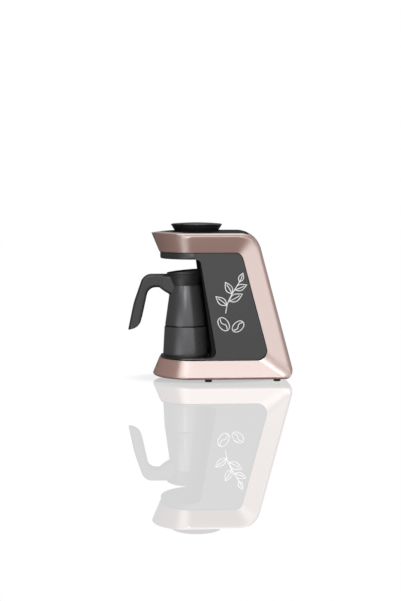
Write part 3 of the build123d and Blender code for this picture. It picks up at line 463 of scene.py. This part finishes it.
# %% Knob cap: a shallow dome in the skirt's recess
CAP_TOP_Z = 243.8
CAP_EDGE_Z = KNOB_RIM_Z + 0.5
rise = CAP_TOP_Z - CAP_EDGE_Z
dome_radius = (CAP_R ** 2 + rise ** 2) / (2 * rise)
cap_outline = [(radius, CAP_TOP_Z - dome_radius + (dome_radius ** 2 - radius ** 2) ** 0.5)
               for radius in (0.0, 8.0, 16.0, 24.0, 31.0, CAP_R)]
cap_outline += [(CAP_R, RECESS_Z), (0, RECESS_Z)]
cap = piece("knob_cap_turned", soften(turned(cap_outline, KNOB_Y, KNOB_STEPS), 0.3), cap_black,
            "knob")
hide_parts("knob_cap")
print("the cap's dome has a radius of", round(dome_radius), "mm")

# %% [markdown]
# ## The pot
# The pot is drawn from sheet steel: a sloping wall, a rounded floor and a neck under the collar.
# Outer and inner wall are one closed outline, so spinning it gives the true thin wall, and the
# inside can be seen from above. The lower sleeve is a separate, slightly wider ring of plastic.

# %% Pot
JUG_Y = -38.0
LIP_Z = 83.5
COLLAR_Z = 146.0
NECK_TOP_Z = 154.0
WALL_FOOT_R = 32.1
WALL_TOP_R = 23.4
NECK_R = 21.8
NECK_BORE_R = NECK_R - 1.0
pot_outside = [
    (0, 54.6), (27.0, 54.6), (29.8, 55.6), (31.2, 58.4), (31.2, LIP_Z), (WALL_FOOT_R, LIP_Z),
    (WALL_TOP_R, COLLAR_Z), (NECK_R, COLLAR_Z), (NECK_R, NECK_TOP_Z)]
pot_inside = [
    (NECK_BORE_R, NECK_TOP_Z), (NECK_BORE_R, COLLAR_Z), (29.8, 81.5), (29.8, 60.0),
    (28.6, 57.2), (25.8, 56.0), (0, 56.0)]
pot = piece("pot_turned", soften(turned(pot_outside + pot_inside, JUG_Y), 0.3), pot_coat, "jug")
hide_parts("jug_body")
print("the pot's wall leans in by", round(WALL_FOOT_R - WALL_TOP_R, 1), "mm")

# %% Sleeve and foot ring
sleeve_outline = [
    (31.2, 38.0), (35.1, 38.0), (35.1, 42.0), (32.9, 81.2), (32.1, 82.0), (31.2, 82.0)]
sleeve = piece("sleeve_turned", soften(turned(sleeve_outline, JUG_Y), 0.4), pot_coat, "jug")
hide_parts("jug_sleeve")
ring_outline = [
    (17.0, 37.2), (30.4, 37.2), (30.4, 34.7), (33.8, 34.7), (34.4, 35.5), (34.4, 38.0),
    (30.7, 38.0), (30.7, 41.0), (28.9, 41.0), (28.9, 39.4), (17.0, 39.4)]
foot_ring = piece("foot_ring_turned", soften(turned(ring_outline, JUG_Y), 0.25), collar_black,
                  "jug")
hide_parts("jug_foot_ring")
print("sleeve", len(sleeve.data.polygons), "foot ring", len(foot_ring.data.polygons), "faces")

# %% [markdown]
# ## The collar and its spout
# The collar is a moulded ring that flares up to a level bead, with a lip above it that climbs to
# a pouring spout. It could be lofted between odd outlines, but it is easier to turn a plain ring
# first and to draw the spout out of it: each vertex near the spout moves outwards, and the lip is
# lifted along a slope. Four shallow grooves run round the wall under the bead.

# %% The collar's outline
FLARE_Z = 156.0
BEAD_Z = 164.4
RIM_Z = 165.5
RIM_R = 29.3
LOW_R = 23.6
FLARE = (RIM_R - LOW_R) / (RIM_Z - COLLAR_Z)
COLLAR_WALL = 1.6
BEAD_OUT = 0.3
GROOVE_DEPTH = 0.3
GROOVE_HALF = 0.45


def wall_point(z, out=0.0):
    """A point of the flared wall at a height, moved outwards or inwards."""
    return (LOW_R + FLARE * (z - COLLAR_Z) + out, z)


outside = [wall_point(COLLAR_Z), wall_point(COLLAR_Z + 1.2), wall_point(FLARE_Z)]
for groove_z in (157.2, 159.0, 160.8, 162.6):
    outside += [wall_point(groove_z - GROOVE_HALF), wall_point(groove_z, -GROOVE_DEPTH),
                wall_point(groove_z + GROOVE_HALF)]
outside += [wall_point(BEAD_Z - 0.5), wall_point(BEAD_Z - 0.1, BEAD_OUT),
            wall_point(BEAD_Z + 0.4, BEAD_OUT), wall_point(BEAD_Z + 0.7), wall_point(RIM_Z)]
inside = [wall_point(z, -COLLAR_WALL) for z in (RIM_Z, BEAD_Z, FLARE_Z, COLLAR_Z)]
print("the collar's wall leans out by", round(FLARE, 3), "mm for each mm of height")

# %% How the spout is drawn out of the ring
SPOUT_REACH = 4.5
BEAK = radians(40)
BEAK_TIP_HALF = 2.5
BEAK_BLUNT = 0.6
LIP_SLOPE = 0.1
CURL_Y = 14.0
CURL = 0.2


def beak_radius(radius, reach, angle):
    """Radius at an angle from the spout: a circle drawn out to a blunt beak."""
    if abs(angle) > BEAK:
        return radius
    side = Vector((radius * sin(BEAK), radius * cos(BEAK)))
    tip = Vector((BEAK_TIP_HALF, radius + reach - BEAK_BLUNT))
    along = Vector((sin(abs(angle)), cos(abs(angle))))
    normal = Vector((side.y - tip.y, tip.x - side.x))
    return min(radius + reach, normal.dot(side) / normal.dot(along))


def rim_lift(y):
    """Height of the lip over the bead: a slope up from the handle, curled at the spout."""
    curl = max(0.0, (y - CURL_Y) / (RIM_R + SPOUT_REACH - CURL_Y))
    return LIP_SLOPE * (y + RIM_R) + CURL * curl ** 2


# %% Collar
COLLAR_STEPS = 144
collar_bm = turned(outside + inside, steps=COLLAR_STEPS)
for vert in collar_bm.verts:
    x, y, z = vert.co / MM
    up = max(0.0, (z - FLARE_Z) / (RIM_Z - FLARE_Z))
    radius = (x * x + y * y) ** 0.5
    drawn = beak_radius(radius, SPOUT_REACH * up, atan2(x, y)) / radius
    if z > RIM_Z - 0.1:
        lift = rim_lift(y * drawn)
        drawn += FLARE * lift / radius
        z += lift
    vert.co = Vector((x * drawn, y * drawn + JUG_Y, z)) * MM
soften(collar_bm, 0.3, angle=50.0)
collar = piece("collar_moulded", collar_bm, collar_black, "jug")
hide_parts("jug_collar")
print("collar top", round(max(vert.co.z for vert in collar.data.vertices) / MM, 1), "mm")

# %% [markdown]
# ## The handle
# The handle is moulded in two halves that close on each other. Its swept shape is right in the
# CAD, with the round edges that a hand needs, so it is dressed as the stand is.

# %% Handle
smooth_copy("jug_handle", grip_black, sharp=30.0)
smooth_copy("handle_insert", collar_black)

# %% [markdown]
# ## White line drawing on the side panels
# The panels carry a plain line drawing in white ink: a coffee sprig over two beans. Each stroke
# is a smooth curve with a round bevel, flattened until it stands a tenth of a millimetre off the
# panel, as screen-printed ink does. The curves become one mesh before they are put in place.

# %% White ink
print_white = plain_finish("print_white", (0.90, 0.90, 0.88), 0.45, spread=0.03,
                           values={"Coat Roughness": 0.3, **SHEEN})
print("the ink has", len(print_white.tree.nodes), "nodes")

# %% Strokes, leaves and beans
def stroke(curve, points, closed=False, corners=()):
    """A Bezier stroke through points in millimetres, with sharp corners where they are named."""
    spline = curve.splines.new("BEZIER")
    spline.bezier_points.add(len(points) - 1)
    spline.use_cyclic_u = closed
    for index, (knot, (across, up)) in enumerate(zip(spline.bezier_points, points)):
        knot.co = Vector((across, up, 0)) * MM
        kind = "VECTOR" if index in corners else "AUTO"
        knot.handle_left_type = kind
        knot.handle_right_type = kind


def turned_points(points, angle, across, up):
    """Points turned by an angle in degrees and moved to a place."""
    c, s = cos(radians(angle)), sin(radians(angle))
    return [(across + c * x - s * y, up + s * x + c * y) for x, y in points]


def leaf(curve, length, width, *place):
    """A leaf outline with its midrib, growing from a point on the stem."""
    outline = [(0, 0), (width * 0.5, length * 0.42), (0, length), (-width * 0.5, length * 0.42)]
    midrib = [(0, 0), (0.6, length * 0.4), (0, length * 0.78)]
    stroke(curve, turned_points(outline, *place), closed=True, corners=(0, 2))
    stroke(curve, turned_points(midrib, *place))


def bean(curve, length, width, *place):
    """A coffee bean: an oval with its curved furrow."""
    oval = [(0, -length / 2), (width / 2, 0), (0, length / 2), (-width / 2, 0)]
    furrow = [(0, -length * 0.44), (width * 0.13, -length * 0.16),
              (-width * 0.13, length * 0.16), (0, length * 0.44)]
    stroke(curve, turned_points(oval, *place), closed=True)
    stroke(curve, turned_points(furrow, *place))


# %% Draw the sprig: length, width, turn, and place across and up
STROKE_R = 0.74
STEM = [(-9, -12), (-5, 6), (3, 22), (14, 40)]
LEAVES = [(24, 11, 52, -6.5, 1), (26, 12, -62, -3.6, 8), (23, 11, 30, 2.0, 20),
          (22, 10, -68, 6.0, 27), (16, 8, -22, 14.0, 40)]
BEANS = [(24, 16, 34, -12, -30), (22, 15, -48, 12, -34)]
drawing = bpy.data.curves.new("sprig_lines", "CURVE")
drawing.dimensions = "3D"
drawing.bevel_depth = STROKE_R * MM
drawing.bevel_resolution = 2
drawing.resolution_u = 10
stroke(drawing, STEM)
for row in LEAVES:
    leaf(drawing, *row)
for row in BEANS:
    bean(drawing, *row)
line_object = add_object("sprig_lines", drawing)
print("strokes", len(drawing.splines))

# %% Put the drawing on both panels
PANEL_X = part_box("side_panel_right")[1].x
DRAWING_Y = 28.5 * MM
DRAWING_Z = 117.0 * MM
DRAWING_SCALE = 0.92
INK_FLATNESS = 0.12
for side, name in ((1, "sprig_print_right"), (-1, "sprig_print_left")):
    bm = bmesh.new()
    source = bpy.data.meshes.new_from_object(line_object)
    bm.from_mesh(source)
    bpy.data.meshes.remove(source)
    onto_panel = Matrix(((0, 0, side * INK_FLATNESS, PANEL_X * side),
                         (DRAWING_SCALE, 0, 0, DRAWING_Y),
                         (0, DRAWING_SCALE, 0, DRAWING_Z),
                         (0, 0, 0, 1)))
    bmesh.ops.transform(bm, matrix=onto_panel, verts=bm.verts)
    bmesh.ops.recalc_face_normals(bm, faces=bm.faces)
    piece(name, bm, print_white, "frame")
bpy.data.objects.remove(line_object)
print("the ink stands", round(STROKE_R * INK_FLATNESS, 2), "mm off the panel")

# %% [markdown]
# ## Studio
# The floor is a white polished board with a faint mirror image. It is for the eye only: rays from
# the object pass through it, and see the surroundings instead, which also hold what a table would
# send back. The camera and the board's mirror see plain white, so the board has no horizon line.
# A soft oval shadow is painted on the board under the object.

# %% Floor
BOARD_HALF = 6.0
floor_bm = bmesh.new()
bmesh.ops.create_grid(floor_bm, x_segments=1, y_segments=1, size=BOARD_HALF)
floor_mesh = bpy.data.meshes.new("floor")
floor_bm.to_mesh(floor_mesh)
floor_bm.free()
floor = add_object("floor", floor_mesh)
floor.visible_diffuse = False
floor.visible_glossy = False
floor.visible_shadow = False

# %% Polished board
MIRROR = 0.34
SHADE_X = 70 * MM
SHADE_Y = 128 * MM
SHADE_FROM = 0.75
SHADE_TO = 1.12
SHADE_GREY = (0.80, 0.80, 0.80)
WHITE = (1, 1, 1)
board = bpy.data.materials.new("polished_board")
board_net = Network(board)
place = board_net.node("ShaderNodeTexCoord", output="Object")
oval = board_net.node("ShaderNodeVectorMath", {"operation": "MULTIPLY"},
                      [place, (1 / SHADE_X, 1 / SHADE_Y, 0)])
reach = board_net.node("ShaderNodeVectorMath", {"operation": "LENGTH"}, [oval], output="Value")
# painted shadow: the board's glow darkens to grey in an oval under the object
shadow_fade = board_net.node("ShaderNodeMapRange", {"interpolation_type": "SMOOTHSTEP"},
                      [reach, SHADE_FROM, SHADE_TO, 0.0, 1.0])
glow = board_net.node("ShaderNodeEmission", {},
                      {"Color": board_net.blend(shadow_fade, SHADE_GREY, WHITE), "Strength": 1.0})
gloss = board_net.node("ShaderNodeBsdfGlossy", {}, {"Color": (*WHITE, 1), "Roughness": 0.0})
polish = board_net.node("ShaderNodeMixShader", {}, [MIRROR, glow, gloss])
board_net.feed(board_net.tree.nodes["Material Output"].inputs["Surface"], polish)
floor_mesh.materials.append(board)
print("the board mirrors", MIRROR, "of what stands on it")

# %% [markdown]
# ## Surroundings
# The lacquer looks like what it reflects, so the surroundings are painted: each patch is a soft
# round light, given by its compass angle from the front, its height and its radius. A face sends
# the line of sight off at twice the angle that it is turned by, which is how each patch is aimed.
# Most are on the right; low on the left it stays dark, so that the flat top is black when it is
# seen edge-on. Only glossy surfaces see the patches. Matt ones get an even light from the
# surroundings and the rest from two lamps.

# %% A round light of the surroundings
world = bpy.data.worlds.new("studio")
bpy.context.scene.world = world
sky = Network(world)
outward = sky.node("ShaderNodeTexCoord", output="Generated")


def compass(azimuth, elevation):
    """The direction at an angle from the front and a height, in degrees. The right is 90."""
    turn, lift = radians(azimuth), radians(elevation)
    return Vector((sin(turn) * cos(lift), -cos(turn) * cos(lift), sin(lift)))


def patch(azimuth, elevation, inner, outer, radiance):
    """A round light with a soft edge, from `inner` to `outer` degrees round its middle."""
    aligned = sky.node("ShaderNodeVectorMath", {"operation": "DOT_PRODUCT"},
                       [outward, compass(azimuth, elevation)], output="Value")
    return sky.node("ShaderNodeMapRange", {"interpolation_type": "SMOOTHSTEP"},
                    [aligned, cos(radians(outer)), cos(radians(inner)), 0.0, radiance])


# %% Surroundings: azimuth, elevation, inner and outer radius, radiance
PATCHES = {
    "side_box": (100, 22, 15, 54, 1.5),
    "base_sheen": (97, 48, 8, 38, 1.9),
    "base_glare": (49, 40, 4, 23, 3.8),
    "strap_sheen": (53, -19, 10, 30, 2.8),
    "head_glow": (52, -48, 2, 15, 1.3),
    "pot_strip": (85, 20, 1, 9, 11.0),
    "back_box": (150, 12, 10, 45, 0.8),
    "far_back_box": (-150, 20, 10, 40, 0.5),
    "far_sheen": (-95, 46, 6, 27, 1.5),
    "over": (-102, 66, 5, 24, 1.5),
}
BETWEEN_PATCHES = 0.07
EVEN_LIGHT = 0.08
light = BETWEEN_PATCHES
for row in PATCHES.values():
    light = patch(*row) + light
camera_ray, mirror_ray, matt_ray = (
    sky.node("ShaderNodeLightPath", output=name)
    for name in ("Is Camera Ray", "Is Singular Ray", "Is Diffuse Ray"))
seen_plain = sky.node("ShaderNodeMath", {"operation": "MAXIMUM"}, [camera_ray, mirror_ray])
reflected = sky.node("ShaderNodeMix", {}, {0: matt_ray, 2: light, 3: EVEN_LIGHT})
strength = sky.node("ShaderNodeMix", {}, {0: seen_plain, 2: reflected, 3: 1.0})
background = sky.tree.nodes["Background"]
sky.feed(background.inputs["Color"], (*WHITE, 1))
sky.feed(background.inputs["Strength"], strength)
bpy.context.scene.view_settings.view_transform = "Standard"
print("patches", len(PATCHES))

# %% [markdown]
# ## Lamps and camera
# Two round lamps, one on each side and a little behind, give the matt surfaces their shape. The
# lacquer doesn't reflect them, so they leave no hard spots. The camera stands two metres off,
# nearly square to the side and a little above, with a lens long enough that the object's far side
# is hardly smaller than its near one. Lamps and camera both look along their own -Z, so one
# helper turns them.

# %% Aim lamps and camera
def look_back(viewer, away):
    """Turn a lamp or the camera, which stands on the `away` side, towards the object."""
    viewer.rotation_mode = "QUATERNION"
    viewer.rotation_quaternion = away.to_track_quat("Z", "Y")


# %% Lamps
LAMP_AZIMUTH = 114
LAMP_ELEVATION = 24
LAMP_DISTANCE = 1.6
LAMP_ACROSS = 0.7
LAMP_AIM = Vector((0, 0, 120 * MM))
for side, power in ((1, 1.5), (-1, 4.5)):
    key = bpy.data.lights.new("key", "AREA")
    key.shape = "DISK"
    key.size = LAMP_ACROSS
    key.energy = power
    lamp = add_object("key", key)
    away = compass(LAMP_AZIMUTH * side, LAMP_ELEVATION)
    lamp.location = LAMP_AIM + away * LAMP_DISTANCE
    look_back(lamp, away)
    lamp.visible_glossy = False
print("lamps", len(bpy.data.lights))

# %% Camera
CAMERA_AZIMUTH = 86.4
CAMERA_ELEVATION = 4.5
CAMERA_DISTANCE = 2.0
CAMERA_AIM = Vector((0, -14.4, 121.3)) * MM
camera_data = bpy.data.cameras.new("camera")
camera_data.lens = 76.3
camera_data.sensor_width = 36.0
camera = add_object("camera", camera_data)
away = compass(CAMERA_AZIMUTH, CAMERA_ELEVATION)
camera.location = CAMERA_AIM + away * CAMERA_DISTANCE
look_back(camera, away)
bpy.context.scene.camera = camera
print("the camera stands at", [round(part, 3) for part in camera.location])
